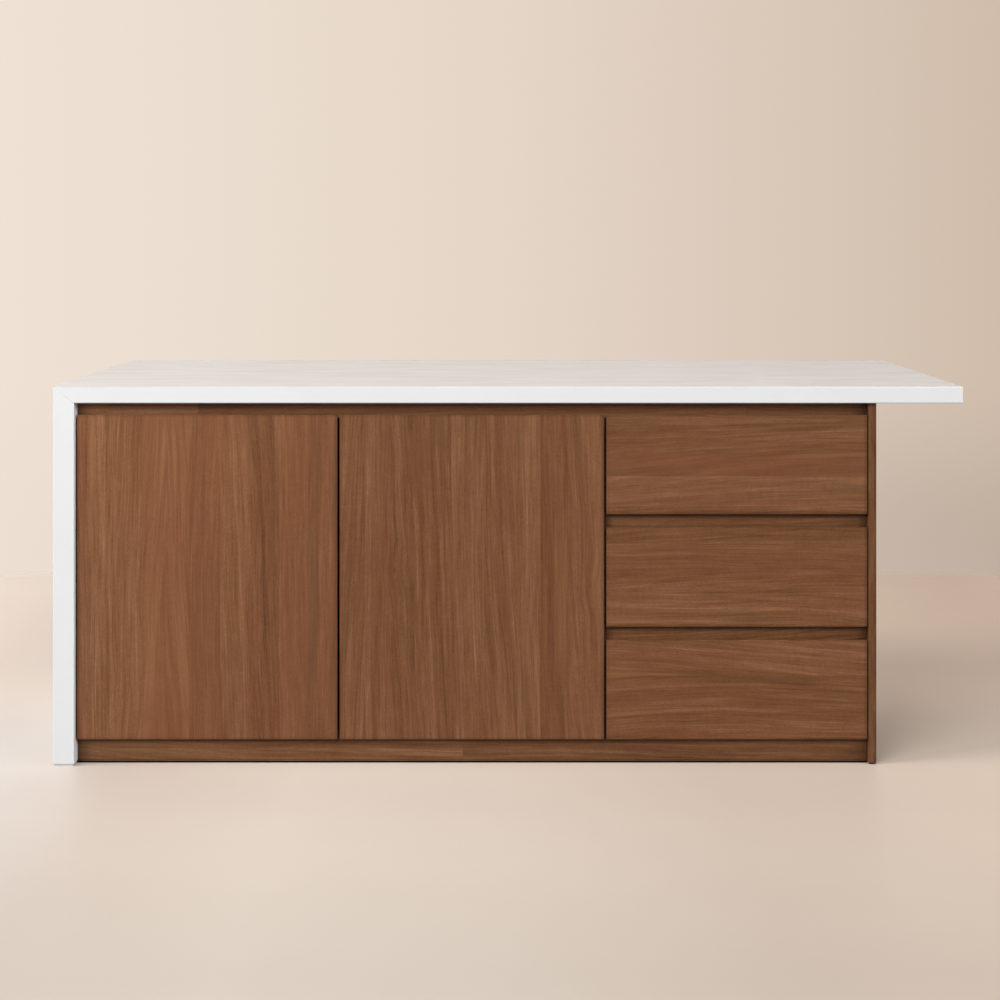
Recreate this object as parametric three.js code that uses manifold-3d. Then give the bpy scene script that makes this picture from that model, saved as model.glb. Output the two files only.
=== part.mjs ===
// Kitchen island unit: a white worktop that turns down at its left end into a waterfall leg,
// over a walnut double-door cabinet and a walnut three-drawer cabinet. It has no handles:
// fingers reach into recessed rails above each front and pull on a bevelled top edge.
// Millimetres, +Z up, -Y is the front. The origin is on the floor under the worktop's centre.
import * as THREE from "three";
import { mergeVertices } from "three/addons/utils/BufferGeometryUtils.js";
import Module from "manifold-3d";

const wasm = await Module();
wasm.setup();

// ---------------------------------------------------------------- driving dimensions
const ISLAND_WIDTH = 2190;
const ISLAND_DEPTH = 900;
const ISLAND_HEIGHT = 914;

const WORKTOP_THICKNESS = 40;
const LEG_THICKNESS = 50;
const STONE_ARRIS = 1.5; // chamfer along every edge of the slab and the leg
const MITRE_JOINT = 0.3; // glue line between the slab and the leg
const FRONT_OVERHANG = 16; // worktop beyond the faces of the fronts
const RIGHT_OVERHANG = 205; // worktop beyond the end panel

const FLOOR_GAP = 4.5; // leg, end panel, rear panel and toe kick to the floor
const GLIDE_INSET = 2; // glide from the faces of the leg or the end panel that it carries

const TOE_HEIGHT = 60; // floor to the lower edge of the fronts
const TOE_KICK_THICKNESS = 16;
const CARCASS_DEPTH = 466;
const BOARD = 18; // carcass sides and bottoms
const BACK_THICKNESS = 8;
const END_PANEL_THICKNESS = 19;
const REAR_PANEL_THICKNESS = 18;
const WOOD_ARRIS = 1; // eased edges of fronts, end panel and rails
const FITTING_GAP = 0.5; // between trim and what it butts against
const SEAM = 0.25; // between pieces that are screwed or glued face to face

const LEFT_DOOR_BAY = 635.5; // leg to the line where the doors meet
const DRAWER_BAY = 636; // drawer cabinet
const FRONT_THICKNESS = 19;
const BUMPER_GAP = 2; // between a closed front and the carcass
const LEG_GAP = 3; // between the leg and the left door
const MEETING_GAP = 5; // between the two doors
const BAY_GAP = 5; // between the right door and the drawers
const PANEL_GAP = 2.5; // between the drawers and the end panel

const TOP_GRIP_GAP = 30; // worktop to the top of the fronts
const GRIP_GAP = 32; // between one drawer front and the next
const GRIP_NOSE = 6; // thickness left at the top edge of a front
const GRIP_BEVEL = 22; // height of the bevel behind that edge
const GRIP_RAIL_THICKNESS = 18;
const RAIL_BELOW = 10; // how far a grip rail runs down behind the front below it
const RAIL_ABOVE = 8; // how far it runs up behind the front above it
const NOTCH_CLEARANCE = 0.5;

const SHELF_THICKNESS = 25;
const SHELF_END_GAP = 1;
const SHELF_SETBACK = 20;
const SHELF_HOLE_RADIUS = 2.6;
const SHELF_HOLE_DEPTH = 10;
const SHELF_HOLE_PITCH = 32;
const SHELF_HOLES_EACH_WAY = 2; // holes above and below the one in use
const SHELF_HOLE_INSET = 37; // from the front edge, and from the back panel
const PIN_RADIUS = 2.5;
const PIN_IN_SIDE = 9;
const PEG_RADIUS = 3;
const PEG_LENGTH = 10;
const PIN_COLLAR_RADIUS = 4.5;
const PIN_COLLAR = 0.75; // outer face of the collar from the cabinet's side

const CUP_RADIUS = 17.5;
const CUP_DEPTH = 12.5;
const CUP_WALL = 1;
const CUP_RIM = 1;
const CUP_EDGE_DISTANCE = 5; // door edge to the rim of the cup's bore
const CUP_BORE_CLEARANCE = 0.25;
const HINGE_FROM_DOOR_END = 95;
const CUP_SCREW_SPACING = 48;
const EAR_WIDTH = 12; // ear of the cup, across its screw
const EAR_ROOT_WIDTH = 16; // and where it meets the cup
const EAR_TIP_WIDTH = 6;
const EAR_END = 5; // ear beyond its screw
const SCREW_HEAD_RADIUS = 3.5;
const SCREW_HEAD = 0.75; // height of a head over what it holds

// The hinge arm, across from the cabinet's side and deep from the carcass front.
const ARM_HEIGHT = 18;
const ARM_OFF_SIDE = 4;
const ARM_NOSE_REACH = 6; // in front of the carcass
const ARM_NOSE_WIDTH = 7;
const ARM_WIDTH = 12;
const ARM_SHOULDER = 14; // where the arm has its full width
const ARM_END = 68;
const ARM_END_SLOPE = 6;
const LINK_THICKNESS = 3.5; // link that runs from the arm's nose into the cup
const LINK_HEIGHT = 10;
const LINK_RUN = 0.3; // between the link and the cup's floor when the door is shut
const PLATE_START = 22;
const PLATE_LENGTH = 44;
const PLATE_HEIGHT = 16;
const PLATE_THICKNESS = 3; // outer face of the plate from the cabinet's side
const PLATE_SCREW_SPACING = 32;
const PLATE_WING = 12; // width of the plate's upper and lower wing
const PLATE_WING_TIP = 6;
const PLATE_WING_END = 6; // wing beyond its screw
const PLATE_WING_CORNER = 3;
const CLIP_START = 4; // from the plate's middle to the block that the arm clips over
const CLIP_LENGTH = 16;
const CLIP_HEIGHT = 10;
const ARM_SCREW_SPACING = 24; // fixing screw and adjusting screw of the arm

const RUNNER_WIDTH = 11;
const RUNNER_LIP = 3;
const STEEL = 1.5; // sheet of the arms, runners and drawer sides
const RUNNER_LIFT = 24; // lower edge of a drawer front to the underside of its runner
const RUNNER_SCREWS = [0.15, 0.5, 0.85]; // places along the runner's length
const RUNNER_START = 2; // runner's front end, behind the carcass front
const RUNNER_REAR_CLEARANCE = 8;
const ROLLER_RADIUS = 10;
const ROLLER_INSET = 14; // roller's axle from the end of its profile
const ROLLER_RUN = 0.5; // running gap under the drawer's flange
const ROLLER_LIFT = 2; // runner's roller over its lower flange
const REAR_ROLLER_LIFT = 0.75; // drawer's roller over the runner's lower flange
const FLANGE_HEADROOM = 4; // drawer's flange to the runner's upper lip
const AXLE_RADIUS = 3;
const DRAWER_SIDE_RUN = 2; // runner to the drawer's steel side
const DRAWER_FLANGE = 9; // width of the flange that rides on the roller
const DRAWER_HEM = 2; // fold along the top of the steel side
const HEM_HEIGHT = 8;
const FRONT_TAB_WIDTH = 22; // tab that takes the drawer front's screws
const FRONT_TAB_HEIGHT = 45;
const FRONT_TAB_LIFT = 6; // tab over the drawer's bottom
const DRAWER_HEADROOM = 84; // front height less the height of the drawer's side
const DRAWER_BOARD = 16;
const DRAWER_BACK_DROP = 8; // top of the drawer's back below the top of its sides
const DRAWER_LEDGE = 6; // underside of the drawer's steel side above the runner's underside
const LEDGE_WIDTH = 14; // steel lip that carries the drawer's bottom

const FOOT_FLANGE_RADIUS = 30;
const FOOT_FLANGE_THICKNESS = 4;
const FOOT_PAD_RADIUS = 26;
const FOOT_PAD_THICKNESS = 6;
const FOOT_PAD_CONE = 4; // rise from the pad to the stem
const FOOT_SOCKET_RADIUS = 15;
const FOOT_SOCKET_LENGTH = 22;
const FOOT_SOCKET_CHAMFER = 3;
const FOOT_STEM_RADIUS = 9;
const FOOT_ARRIS = 2;
const FOOT_INSET = 65; // foot's axis from the carcass's ends, front and back

const ROUND_SIDES = 24;
const SMALL_ROUND_SIDES = 12;
const CUT_OVERSHOOT = 1; // how far a drill or cutter runs out past the face that it enters
const MERGE_DISTANCE = 1e-4; // corners nearer than this are one corner

// ---------------------------------------------------------------- derived places
const LEFT = -ISLAND_WIDTH / 2;
const RIGHT = ISLAND_WIDTH / 2;
const FRONT = -ISLAND_DEPTH / 2;
const REAR = ISLAND_DEPTH / 2;
const UNDERSIDE = ISLAND_HEIGHT - WORKTOP_THICKNESS; // of the worktop

const LEG_INNER = LEFT + LEG_THICKNESS;
const PANEL_OUTER = RIGHT - RIGHT_OVERHANG;
const PANEL_INNER = PANEL_OUTER - END_PANEL_THICKNESS;
const DOORS_MEET = LEG_INNER + LEFT_DOOR_BAY;
const BAYS_MEET = PANEL_INNER - DRAWER_BAY;

const FRONT_FACE = FRONT + FRONT_OVERHANG; // outer face of doors and drawer fronts
const FRONT_BACK = FRONT_FACE + FRONT_THICKNESS;
const CARCASS_FRONT = FRONT_BACK + BUMPER_GAP;
const CARCASS_REAR = CARCASS_FRONT + CARCASS_DEPTH;
const BODY_REAR = CARCASS_REAR + SEAM + REAR_PANEL_THICKNESS;
const BACK_FACE = CARCASS_REAR - BACK_THICKNESS; // inner face of the backs

// Each cabinet from the outer face of its left side to that of its right side.
const DOOR_CABINET = [LEG_INNER + SEAM, BAYS_MEET - SEAM / 2];
const DRAWER_CABINET = [BAYS_MEET + SEAM / 2, PANEL_INNER - SEAM];
const narrowed = ([x0, x1], margin) => [x0 + margin, x1 - margin];
const DOOR_BAY_INSIDE = narrowed(DOOR_CABINET, BOARD);
const DRAWER_BAY_INSIDE = narrowed(DRAWER_CABINET, BOARD);

const DRAWER_FRONT_HEIGHT = (UNDERSIDE - TOP_GRIP_GAP - 2 * GRIP_GAP - TOE_HEIGHT) / 3;
const DOOR_HEIGHT = 3 * DRAWER_FRONT_HEIGHT + 2 * GRIP_GAP;
const FRONTS_TOP = TOE_HEIGHT + DOOR_HEIGHT;
const FLOOR_OF_BAYS = TOE_HEIGHT + BOARD; // upper face of the carcass bottoms

const DRAWER_NAMES = ["lower_drawer", "middle_drawer", "upper_drawer"];
const drawerFrontBottom = (row) => TOE_HEIGHT + row * (DRAWER_FRONT_HEIGHT + GRIP_GAP);
// Each mid rail stands behind the gap over drawer front `row`.
const railBottom = (row) => drawerFrontBottom(row) + DRAWER_FRONT_HEIGHT - RAIL_BELOW;
const railTop = (row) => drawerFrontBottom(row + 1) + RAIL_ABOVE;
const UPPER_RAIL_BOTTOM = FRONTS_TOP - RAIL_BELOW;

const RUNNER_LENGTH = CARCASS_DEPTH - BACK_THICKNESS - RUNNER_REAR_CLEARANCE;
const DRAWER_SIDE_TOP = DRAWER_LEDGE + DRAWER_FRONT_HEIGHT - DRAWER_HEADROOM;
const DRAWER_FLANGE_UNDERSIDE = STEEL + ROLLER_LIFT + 2 * ROLLER_RADIUS + ROLLER_RUN;
const RUNNER_LIP_UNDERSIDE = DRAWER_FLANGE_UNDERSIDE + STEEL + FLANGE_HEADROOM;
const RUNNER_HEIGHT = RUNNER_LIP_UNDERSIDE + RUNNER_LIP + STEEL;
const DRAWER_SIDE_GAP = RUNNER_WIDTH + DRAWER_SIDE_RUN; // carcass side to the steel side
const HINGE_HEIGHTS = {
  lower: HINGE_FROM_DOOR_END,
  upper: DOOR_HEIGHT - GRIP_BEVEL - HINGE_FROM_DOOR_END,
};
const CUP_CENTRE = CUP_EDGE_DISTANCE + CUP_RADIUS; // from the door's hinged edge

// ---------------------------------------------------------------- materials
const finish = (color, roughness, metalness) =>
  new THREE.MeshStandardMaterial({ color, roughness, metalness });
const whiteStone = finish(0xe9e8e6, 0.35, 0);
const walnut = finish(0x7d5239, 0.55, 0);
const walnutCarcass = finish(0x6d4a35, 0.6, 0);
const drawerBoard = finish(0xb9b6b1, 0.6, 0);
const drawerSteel = finish(0xa9abad, 0.4, 0.8);
const plateSteel = finish(0xc2c3c5, 0.3, 1);
const blackPlastic = finish(0x1d1d1e, 0.6, 0);
const whitePlastic = finish(0xe2e1de, 0.5, 0);

// ---------------------------------------------------------------- shape helpers
// A closed geometry as a solid for cutting and joining.
function solidOf(geometry) {
  const bare = geometry.clone();
  bare.deleteAttribute("normal");
  bare.deleteAttribute("uv");
  const merged = mergeVertices(bare, MERGE_DISTANCE);
  return new wasm.Manifold(
    new wasm.Mesh({
      numProp: 3,
      vertProperties: merged.attributes.position.array,
      triVerts: new Uint32Array(merged.index.array),
    }),
  );
}

function geometryOf(solid) {
  const mesh = solid.getMesh();
  const geometry = new THREE.BufferGeometry();
  geometry.setAttribute("position", new THREE.BufferAttribute(mesh.vertProperties, 3));
  geometry.setIndex(new THREE.BufferAttribute(mesh.triVerts, 1));
  geometry.computeVertexNormals();
  return geometry;
}

const joined = (...geometries) =>
  geometryOf(geometries.map(solidOf).reduce((sum, next) => sum.add(next)));
const cut = (geometry, ...tools) =>
  geometryOf(tools.map(solidOf).reduce((rest, tool) => rest.subtract(tool), solidOf(geometry)));
const common = (a, b) => geometryOf(solidOf(a).intersect(solidOf(b)));

function shapeOf(points) {
  return new THREE.Shape(points.map(([u, v]) => new THREE.Vector2(u, v)));
}

const AXES = {
  x: new THREE.Vector3(1, 0, 0),
  y: new THREE.Vector3(0, 1, 0),
  z: new THREE.Vector3(0, 0, 1),
};

// Extrudes a shape along `axis`, with its own two directions laid on `u` and `v`.
function extruded(shape, u, v, axis, start, end) {
  const geometry = new THREE.ExtrudeGeometry(shape, { depth: end - start, bevelEnabled: false });
  geometry.applyMatrix4(new THREE.Matrix4().makeBasis(AXES[u], AXES[v], AXES[axis]));
  return geometry.translate(...AXES[axis].clone().multiplyScalar(start).toArray());
}

// Outlines are given as [y, z], [x, z] and [x, y] pairs.
const alongX = (outline, x0, x1) => extruded(shapeOf(outline), "y", "z", "x", x0, x1);
const alongY = (outline, y0, y1) =>
  extruded(shapeOf(outline.map(([x, z]) => [z, x])), "z", "x", "y", y0, y1);
const alongZ = (outline, z0, z1) => extruded(shapeOf(outline), "x", "y", "z", z0, z1);

function block([x0, x1], [y0, y1], [z0, z1]) {
  const geometry = new THREE.BoxGeometry(x1 - x0, y1 - y0, z1 - z0);
  return geometry.translate((x0 + x1) / 2, (y0 + y1) / 2, (z0 + z1) / 2);
}

// A cylinder along X from x0 to x1, centred on y and z.
function rodX(radius, [x0, x1], y, z, sides = SMALL_ROUND_SIDES) {
  const rod = new THREE.CylinderGeometry(radius, radius, x1 - x0, sides);
  return rod.rotateZ(-Math.PI / 2).translate((x0 + x1) / 2, y, z);
}

// A cylinder along Y from y0 to y1, centred on x and z.
function rodY(radius, x, [y0, y1], z, sides = SMALL_ROUND_SIDES) {
  const rod = new THREE.CylinderGeometry(radius, radius, y1 - y0, sides);
  return rod.translate(x, (y0 + y1) / 2, z);
}

// A profile of [radius, height] pairs, turned about the Y axis.
function turned(profile, sides) {
  return new THREE.LatheGeometry(
    profile.map(([r, h]) => new THREE.Vector2(r, h)),
    sides,
  );
}

// A slab whose outer edges are all chamfered.
function arrisedSlab([x0, x1], [y0, y1], [z0, z1], arris) {
  const outline = shapeOf([
    [x0 + arris, y0 + arris],
    [x1 - arris, y0 + arris],
    [x1 - arris, y1 - arris],
    [x0 + arris, y1 - arris],
  ]);
  const geometry = new THREE.ExtrudeGeometry(outline, {
    depth: z1 - z0 - 2 * arris,
    bevelSize: arris,
    bevelThickness: arris,
    bevelSegments: 1,
  });
  return geometry.translate(0, 0, z0 + arris);
}

function piece(name, geometry, material, [x, y, z] = [0, 0, 0]) {
  const mesh = new THREE.Mesh(geometry, material);
  mesh.name = name;
  mesh.position.set(x, y, z);
  return mesh;
}

function group(at, ...children) {
  const made = new THREE.Group();
  made.position.set(...at);
  made.add(...children);
  return made;
}

// ---------------------------------------------------------------- worktop and waterfall leg
// The slab and the leg meet on one mitre from the outer corner to the inner corner.
// What lies on the far side of it is cut away, `offset` back from the mitre itself.
function mitreTool(towardsLeg, offset) {
  const outer = new THREE.Vector2(LEFT, ISLAND_HEIGHT);
  const inner = new THREE.Vector2(LEG_INNER, UNDERSIDE);
  const reach = LEG_THICKNESS + WORKTOP_THICKNESS;
  const along = inner.clone().sub(outer).normalize();
  const away = new THREE.Vector2(along.y, -along.x).multiplyScalar(towardsLeg ? 1 : -1);
  const start = outer.clone().addScaledVector(along, -reach).addScaledVector(away, offset);
  const end = inner.clone().addScaledVector(along, reach).addScaledVector(away, offset);
  const farEnd = end.clone().addScaledVector(away, reach);
  const farStart = start.clone().addScaledVector(away, reach);
  const outline = [start, end, farEnd, farStart].map((p) => [p.x, p.y]);
  return alongY(outline, FRONT - reach, REAR + reach);
}

function worktop() {
  const slab = arrisedSlab([LEFT, RIGHT], [FRONT, REAR], [UNDERSIDE, ISLAND_HEIGHT], STONE_ARRIS);
  return piece("worktop", cut(slab, mitreTool(true, 0)), whiteStone);
}

function waterfallLeg() {
  const full = arrisedSlab([LEFT, LEG_INNER], [FRONT, REAR], [FLOOR_GAP, ISLAND_HEIGHT], STONE_ARRIS);
  return piece("waterfall_leg", cut(full, mitreTool(false, -MITRE_JOINT)), whiteStone);
}

// A nylon strip that carries an upright panel just clear of the floor.
function glide(name, across, deep, material) {
  const height = [0, FLOOR_GAP - SEAM];
  const strip = block(narrowed(across, GLIDE_INSET), narrowed(deep, GLIDE_INSET), height);
  return piece(name, strip, material);
}

// ---------------------------------------------------------------- finished walnut panels
function endPanel() {
  const outline = [
    [PANEL_INNER + WOOD_ARRIS, FRONT_FACE],
    [PANEL_OUTER - WOOD_ARRIS, FRONT_FACE],
    [PANEL_OUTER, FRONT_FACE + WOOD_ARRIS],
    [PANEL_OUTER, BODY_REAR - WOOD_ARRIS],
    [PANEL_OUTER - WOOD_ARRIS, BODY_REAR],
    [PANEL_INNER, BODY_REAR],
    [PANEL_INNER, FRONT_FACE + WOOD_ARRIS],
  ];
  return piece("end_panel", alongZ(outline, FLOOR_GAP, UNDERSIDE - SEAM), walnut);
}

function rearPanel() {
  const panel = block(
    narrowed([LEG_INNER, PANEL_INNER], FITTING_GAP),
    [CARCASS_REAR + SEAM, BODY_REAR],
    [FLOOR_GAP, UNDERSIDE - SEAM],
  );
  return piece("rear_panel", panel, walnut);
}

// A long board on edge behind the fronts, with its front edges eased.
function rail(name, [x0, x1], [z0, z1], thickness) {
  const outline = [
    [CARCASS_FRONT + WOOD_ARRIS, z0],
    [CARCASS_FRONT + thickness, z0],
    [CARCASS_FRONT + thickness, z1],
    [CARCASS_FRONT + WOOD_ARRIS, z1],
    [CARCASS_FRONT, z1 - WOOD_ARRIS],
    [CARCASS_FRONT, z0 + WOOD_ARRIS],
  ];
  return piece(name, alongX(outline, x0, x1), walnut);
}

function trim() {
  const wholeFront = narrowed([LEG_INNER, PANEL_INNER], FITTING_GAP);
  const drawerBay = narrowed([BAYS_MEET, PANEL_INNER], FITTING_GAP);
  const toeKick = [FLOOR_GAP, TOE_HEIGHT - FITTING_GAP];
  const upperRail = [UPPER_RAIL_BOTTOM, UNDERSIDE - SEAM];
  return [
    rail("toe_kick", wholeFront, toeKick, TOE_KICK_THICKNESS),
    rail("upper_grip_rail", wholeFront, upperRail, GRIP_RAIL_THICKNESS),
    rail("middle_grip_rail", drawerBay, [railBottom(1), railTop(1)], GRIP_RAIL_THICKNESS),
    rail("lower_grip_rail", drawerBay, [railBottom(0), railTop(0)], GRIP_RAIL_THICKNESS),
  ];
}

// ---------------------------------------------------------------- carcasses
// A side of a cabinet, from x0 to x1, notched along its front edge for the grip rails.
function carcassSide([x0, x1], railRows) {
  const notch = CARCASS_FRONT + GRIP_RAIL_THICKNESS + NOTCH_CLEARANCE;
  const sideTop = UNDERSIDE - SEAM;
  const outline = [
    [CARCASS_FRONT, TOE_HEIGHT],
    [CARCASS_REAR, TOE_HEIGHT],
    [CARCASS_REAR, sideTop],
    [notch, sideTop],
    [notch, UPPER_RAIL_BOTTOM - NOTCH_CLEARANCE],
    [CARCASS_FRONT, UPPER_RAIL_BOTTOM - NOTCH_CLEARANCE],
  ];
  for (const row of railRows) {
    const top = railTop(row) + NOTCH_CLEARANCE;
    const bottom = railBottom(row) - NOTCH_CLEARANCE;
    outline.push([CARCASS_FRONT, top], [notch, top], [notch, bottom], [CARCASS_FRONT, bottom]);
  }
  return alongX(outline, x0, x1);
}

const SHELF_HOLE_YS = [CARCASS_FRONT + SHELF_HOLE_INSET, BACK_FACE - SHELF_HOLE_INSET];
const PIN_HEIGHT = (FLOOR_OF_BAYS + UNDERSIDE) / 2; // the holes in use are half way up
const SHELF_UNDERSIDE = PIN_HEIGHT + PEG_RADIUS;

// Blind holes for shelf pins, in two columns, drilled from `face` towards `inwards` (1 or -1).
function shelfHoles(face, inwards) {
  const ends = [face - inwards * CUT_OVERSHOOT, face + inwards * SHELF_HOLE_DEPTH];
  ends.sort((a, b) => a - b);
  const holes = [];
  for (const y of SHELF_HOLE_YS) {
    for (let step = -SHELF_HOLES_EACH_WAY; step <= SHELF_HOLES_EACH_WAY; step++) {
      holes.push(rodX(SHELF_HOLE_RADIUS, ends, y, PIN_HEIGHT + step * SHELF_HOLE_PITCH));
    }
  }
  return holes;
}

function carcassBottom(name, inside) {
  const deep = [CARCASS_FRONT, CARCASS_REAR];
  const board = block(narrowed(inside, SEAM), deep, [TOE_HEIGHT, FLOOR_OF_BAYS]);
  return piece(name, board, walnutCarcass);
}

// The back stands on the bottom, between the sides.
function carcassBack(name, inside) {
  const high = narrowed([FLOOR_OF_BAYS, UNDERSIDE], SEAM);
  const board = block(narrowed(inside, SEAM), [BACK_FACE, CARCASS_REAR], high);
  return piece(name, board, walnutCarcass);
}

function doorCabinet() {
  const [outerLeft, outerRight] = DOOR_CABINET;
  const [insideLeft, insideRight] = DOOR_BAY_INSIDE;
  const left = cut(carcassSide([outerLeft, insideLeft], []), ...shelfHoles(insideLeft, -1));
  const right = cut(carcassSide([insideRight, outerRight], []), ...shelfHoles(insideRight, 1));
  const shelf = block(
    narrowed(DOOR_BAY_INSIDE, SHELF_END_GAP),
    [CARCASS_FRONT + SHELF_SETBACK, BACK_FACE - FITTING_GAP],
    [SHELF_UNDERSIDE, SHELF_UNDERSIDE + SHELF_THICKNESS],
  );
  return [
    piece("door_cabinet_left_side", left, walnutCarcass),
    piece("door_cabinet_right_side", right, walnutCarcass),
    carcassBottom("door_cabinet_bottom", DOOR_BAY_INSIDE),
    carcassBack("door_cabinet_back", DOOR_BAY_INSIDE),
    piece("shelf", shelf, walnutCarcass),
    ...shelfPins(),
  ];
}

// A turned steel pin: shank in the side's hole, thin collar, peg under the shelf.
function shelfPins() {
  const profile = [
    [0, -PIN_IN_SIDE],
    [PIN_RADIUS, -PIN_IN_SIDE],
    [PIN_RADIUS, SEAM],
    [PIN_COLLAR_RADIUS, SEAM],
    [PIN_COLLAR_RADIUS, PIN_COLLAR],
    [PEG_RADIUS, PIN_COLLAR],
    [PEG_RADIUS, PEG_LENGTH],
    [0, PEG_LENGTH],
  ];
  const pin = turned(profile, SMALL_ROUND_SIDES).rotateZ(-Math.PI / 2);
  const pins = [];
  const ends = { left: DOOR_BAY_INSIDE[0], right: DOOR_BAY_INSIDE[1] };
  for (const [side, x] of Object.entries(ends)) {
    SHELF_HOLE_YS.forEach((y, i) => {
      const end = i === 0 ? "front" : "rear";
      const made = piece(`shelf_pin_${side}_${end}`, pin, plateSteel, [x, y, PIN_HEIGHT]);
      made.rotation.z = side === "left" ? 0 : Math.PI;
      pins.push(made);
    });
  }
  return pins;
}

function drawerCabinet() {
  const [outerLeft, outerRight] = DRAWER_CABINET;
  const [insideLeft, insideRight] = DRAWER_BAY_INSIDE;
  const rows = [1, 0]; // from the top down, as the outline runs
  return [
    piece("drawer_cabinet_left_side", carcassSide([outerLeft, insideLeft], rows), walnutCarcass),
    piece("drawer_cabinet_right_side", carcassSide([insideRight, outerRight], rows), walnutCarcass),
    carcassBottom("drawer_cabinet_bottom", DRAWER_BAY_INSIDE),
    carcassBack("drawer_cabinet_back", DRAWER_BAY_INSIDE),
  ];
}

// Levelling foot: pad, threaded stem, socket and the flange under the carcass, turned in one.
function feet() {
  const top = TOE_HEIGHT - SEAM;
  const socketTop = top - FOOT_FLANGE_THICKNESS;
  const socketBottom = socketTop - FOOT_SOCKET_LENGTH;
  const profile = [
    [0, 0],
    [FOOT_PAD_RADIUS - FOOT_ARRIS, 0],
    [FOOT_PAD_RADIUS, FOOT_ARRIS],
    [FOOT_PAD_RADIUS, FOOT_PAD_THICKNESS],
    [FOOT_STEM_RADIUS, FOOT_PAD_THICKNESS + FOOT_PAD_CONE],
    [FOOT_STEM_RADIUS, socketBottom - FOOT_SOCKET_CHAMFER],
    [FOOT_SOCKET_RADIUS, socketBottom],
    [FOOT_SOCKET_RADIUS, socketTop - FOOT_FLANGE_THICKNESS],
    [FOOT_FLANGE_RADIUS, socketTop],
    [FOOT_FLANGE_RADIUS, top],
    [0, top],
  ];
  const foot = turned(profile, ROUND_SIDES).rotateX(Math.PI / 2);
  const columns = {
    left: LEG_INNER + FOOT_INSET,
    middle: BAYS_MEET,
    right: PANEL_INNER - FOOT_INSET,
  };
  const rows = { front: CARCASS_FRONT + FOOT_INSET, rear: CARCASS_REAR - FOOT_INSET };
  return Object.entries(columns).flatMap(([column, x]) =>
    Object.entries(rows).map(([row, y]) =>
      piece(`foot_${column}_${row}`, foot, blackPlastic, [x, y, 0]),
    ),
  );
}

// ---------------------------------------------------------------- fronts
// Doors and drawer fronts are one pattern. Corner at the lower left of the outer face. The
// face edges are eased, and behind the top edge a bevel leaves a thin nose for the fingers.
function frontPanel(width, height) {
  const side = [
    [WOOD_ARRIS, 0],
    [FRONT_THICKNESS, 0],
    [FRONT_THICKNESS, height - GRIP_BEVEL],
    [GRIP_NOSE, height],
    [WOOD_ARRIS, height],
    [0, height - WOOD_ARRIS],
    [0, WOOD_ARRIS],
  ];
  const plan = [
    [WOOD_ARRIS, 0],
    [width - WOOD_ARRIS, 0],
    [width, WOOD_ARRIS],
    [width, FRONT_THICKNESS],
    [0, FRONT_THICKNESS],
    [0, WOOD_ARRIS],
  ];
  return common(alongX(side, 0, width), alongZ(plan, 0, height));
}

// ---------------------------------------------------------------- doors and concealed hinges
// The cup sits in a bore in the door's back: a drawn steel cup with a rim, and two ears
// screwed to the door above and below it. Its origin is the centre of the bore's mouth.
function hingeCup() {
  const bowl = turned(
    [
      [0, -CUP_DEPTH],
      [CUP_RADIUS, -CUP_DEPTH],
      [CUP_RADIUS, 0],
      [CUP_RADIUS + CUP_WALL, 0],
      [CUP_RADIUS + CUP_WALL, CUP_RIM],
      [CUP_RADIUS - CUP_WALL, CUP_RIM],
      [CUP_RADIUS - CUP_WALL, CUP_WALL - CUP_DEPTH],
      [0, CUP_WALL - CUP_DEPTH],
    ],
    ROUND_SIDES,
  );
  const reach = CUP_SCREW_SPACING / 2;
  const root = CUP_RADIUS / 2; // inside the mouth, which is then cut out of the ear
  const ear = alongY(
    [
      [-EAR_ROOT_WIDTH / 2, root],
      [EAR_ROOT_WIDTH / 2, root],
      [EAR_WIDTH / 2, reach],
      [EAR_TIP_WIDTH / 2, reach + EAR_END],
      [-EAR_TIP_WIDTH / 2, reach + EAR_END],
      [-EAR_WIDTH / 2, reach],
    ],
    0,
    CUP_RIM,
  );
  const mouthEnds = [-CUT_OVERSHOOT, CUP_RIM + CUT_OVERSHOOT];
  const mouth = rodY(CUP_RADIUS - CUP_WALL / 2, 0, mouthEnds, 0, ROUND_SIDES);
  const upperEar = cut(ear, mouth);
  const lowerEar = upperEar.clone().rotateY(Math.PI);
  const head = (z) => rodY(SCREW_HEAD_RADIUS, 0, [CUP_RIM / 2, CUP_RIM + SCREW_HEAD], z);
  return joined(bowl, upperEar, lowerEar, head(reach), head(-reach));
}

// Steel arm, folded to a channel that is open at its rear end.
function armShell() {
  const outside = ARM_OFF_SIDE + ARM_WIDTH;
  const nose = ARM_OFF_SIDE + ARM_NOSE_WIDTH;
  const shell = alongZ(
    [
      [ARM_OFF_SIDE, -ARM_NOSE_REACH],
      [nose, -ARM_NOSE_REACH],
      [outside, ARM_SHOULDER],
      [outside, ARM_END - ARM_END_SLOPE],
      [outside - ARM_END_SLOPE / 2, ARM_END],
      [ARM_OFF_SIDE, ARM_END],
    ],
    -ARM_HEIGHT / 2,
    ARM_HEIGHT / 2,
  );
  const inside = ARM_OFF_SIDE - STEEL;
  const hollow = alongZ(
    [
      [inside, ARM_NOSE_REACH],
      [nose, ARM_NOSE_REACH],
      [outside - STEEL, ARM_SHOULDER + STEEL],
      [outside - STEEL, ARM_END - ARM_END_SLOPE - STEEL],
      [outside - ARM_END_SLOPE / 2 - STEEL, ARM_END + STEEL],
      [inside, ARM_END + STEEL],
    ],
    STEEL - ARM_HEIGHT / 2,
    ARM_HEIGHT / 2 - STEEL,
  );
  return cut(shell, hollow);
}

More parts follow.
